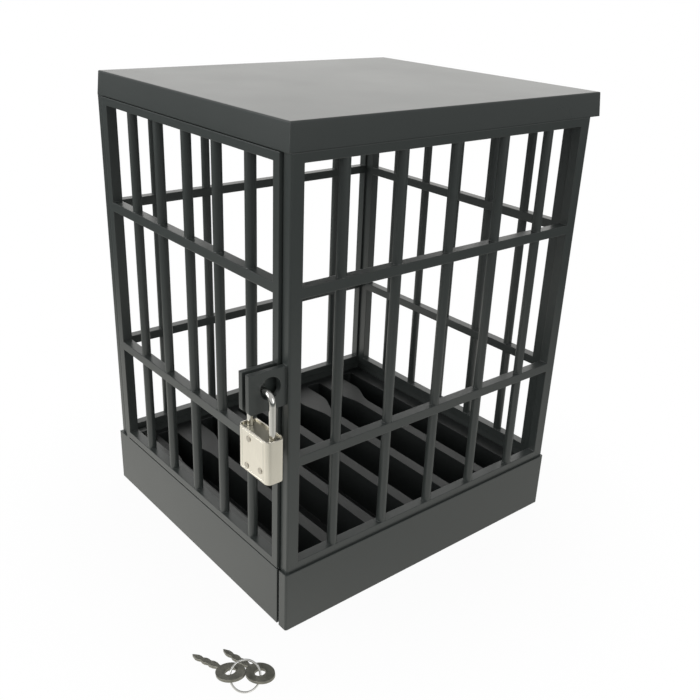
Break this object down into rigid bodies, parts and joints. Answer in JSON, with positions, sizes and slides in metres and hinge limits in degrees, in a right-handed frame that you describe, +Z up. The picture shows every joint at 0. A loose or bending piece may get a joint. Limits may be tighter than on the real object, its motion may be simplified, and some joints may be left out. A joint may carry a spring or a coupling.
{
  "type": "phone lock box",
  "caption": "Barred plastic lock box with a slotted phone rack in its base, a hinged front door with a hasp, a small padlock and its keys on a split ring.",
  "frame": {"origin": "on the floor under the middle of the base, on the underside of the bottom cover", "axes": "-Y towards the door, +X towards the hasp side, +Z up"},
  "size_m": [0.1562, 0.1885, 0.19],
  "materials": {
    "charcoal_plastic": "semi-gloss moulded plastic, charcoal",
    "rack_plastic": "matt moulded plastic, near black",
    "zinc_steel": "bright zinc plated",
    "spring_steel": "drawn spring wire",
    "nickel_plate": "satin nickel plating",
    "dark_plate": "satin nickel, darker inside the rim",
    "lock_brass": "machined brass",
    "ring_steel": "bright nickel plated wire",
    "key_steel": "dark nickel plated, stamped"
  },
  "bodies": {
    "box": {"base_shell": "charcoal_plastic", "bottom_cover": "charcoal_plastic", "cover_screws": "zinc_steel", "panel_screws": "zinc_steel", "phone_rack": "rack_plastic", "side_panel_left": "charcoal_plastic", "side_panel_right": "charcoal_plastic", "rear_panel": "charcoal_plastic", "roof_lid": "charcoal_plastic", "lower_hinge_pin": "zinc_steel", "upper_hinge_pin": "zinc_steel"},
    "door": {"front_door": "charcoal_plastic"},
    "shackle": {"shackle": "nickel_plate"},
    "padlock": {"padlock_case": "nickel_plate", "case_top_plate": "dark_plate", "case_rivets": "nickel_plate", "driver_pins": "lock_brass", "pin_springs": "spring_steel", "shackle_spring": "spring_steel"},
    "plug": {"cylinder_plug": "lock_brass", "key_pins": "lock_brass"},
    "bolt": {"locking_bolt": "lock_brass"},
    "key_ring": {"split_ring": "ring_steel"},
    "key_one": {"key_1": "key_steel"},
    "key_two": {"key_2": "key_steel"}
  },
  "joints": [
    {"name": "door_hinge", "type": "hinge", "parent": "box", "child": "door", "pos_m": [-0.0597, -0.0713, 0], "axis": [0, 0, -1], "range_deg": [0, 105]},
    {"name": "padlock_swing", "type": "hinge", "parent": "door", "child": "shackle", "pos_m": [0.0633, -0.08175, 0.1039], "axis": [1, 0, 0], "range_deg": [-55, 5]},
    {"name": "case_drop", "type": "slide", "parent": "shackle", "child": "padlock", "axis": [0, 0, -1], "range_m": [0, 0.0072], "deforming": ["shackle_spring"]},
    {"name": "plug_turn", "type": "hinge", "parent": "padlock", "child": "plug", "pos_m": [0.0645, -0.08175, 0.0718], "axis": [0, 0, 1], "range_deg": [0, 90]},
    {"name": "bolt_slide", "type": "slide", "parent": "padlock", "child": "bolt", "axis": [-1, 0, 0], "range_m": [0, 0.002]},
    {"name": "keys_lift", "type": "slide", "parent": "box", "child": "key_ring", "axis": [0, 0, 1], "range_m": [0, 0.06]},
    {"name": "key_1_swing", "type": "hinge", "parent": "key_ring", "child": "key_one", "pos_m": [0.08093, -0.10069, 0.00431], "axis": [-0.6421, 0.2092, -0.7376], "range_deg": [0, 30]},
    {"name": "key_2_swing", "type": "hinge", "parent": "key_ring", "child": "key_two", "pos_m": [0.08093, -0.10069, 0.00431], "axis": [-0.6421, 0.2092, -0.7376], "range_deg": [0, 25]}
  ],
  "couplings": [
    {"joint": "plug_turn", "follows": "case_drop", "rad_per_m": 218.16},
    {"joint": "bolt_slide", "follows": "case_drop", "ratio": 0.27777}
  ]
}
